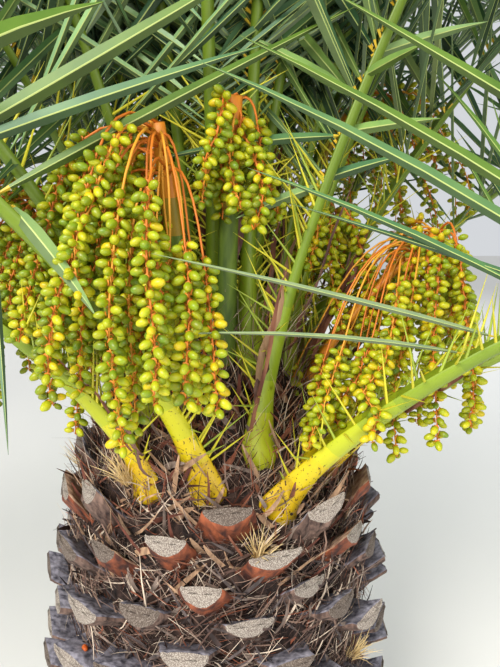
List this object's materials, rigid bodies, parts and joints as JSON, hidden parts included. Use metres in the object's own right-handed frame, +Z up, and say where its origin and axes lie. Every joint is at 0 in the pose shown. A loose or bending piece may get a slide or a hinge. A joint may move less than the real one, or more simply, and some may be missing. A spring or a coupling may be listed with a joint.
{
  "type": "canary island date palm",
  "caption": "Short-stemmed date palm with cut leaf-base stubs, a full crown of arching feather fronds and hanging bunches of yellow-green dates.",
  "frame": {"origin": "centre of the flat cut at ground level under the stem", "axes": "+Z up along the stem, -Y towards the side the picture was taken from, +X to the right as seen from that side"},
  "size_m": [5.9877, 5.2498, 4.0994],
  "materials": {
    "bark": "rough",
    "leaf": "satin",
    "fruit": "satin"
  },
  "bodies": {
    "root": {"frond_00": "leaf", "frond_01": "leaf", "frond_02": "leaf", "frond_03": "leaf", "frond_04": "leaf", "frond_06": "leaf", "frond_07": "leaf", "frond_08": "leaf", "frond_09": "leaf", "frond_11": "leaf", "frond_12": "leaf", "frond_14": "leaf", "frond_15": "leaf", "frond_16": "leaf", "frond_17": "leaf", "frond_18": "leaf", "frond_19": "leaf", "frond_20": "leaf", "frond_21": "leaf", "frond_22": "leaf", "frond_24": "leaf", "frond_25": "leaf", "frond_26": "leaf", "frond_27": "leaf", "frond_28": "leaf", "frond_29": "leaf", "frond_30": "leaf", "frond_31": "leaf", "frond_32": "leaf", "frond_33": "leaf", "frond_34": "leaf", "frond_35": "leaf", "frond_36": "leaf", "frond_37": "leaf", "frond_38": "leaf", "frond_39": "leaf", "frond_40": "leaf", "frond_41": "leaf", "fruit_bunch_back_left": "fruit", "fruit_bunch_back_right": "fruit", "fruit_bunch_front": "fruit", "fruit_bunch_front_high": "fruit", "fruit_bunch_left": "fruit", "fruit_bunch_right": "fruit", "fruit_bunch_right_back": "fruit", "fruit_bunch_right_high": "fruit", "trunk": "bark"}
  },
  "joints": []
}
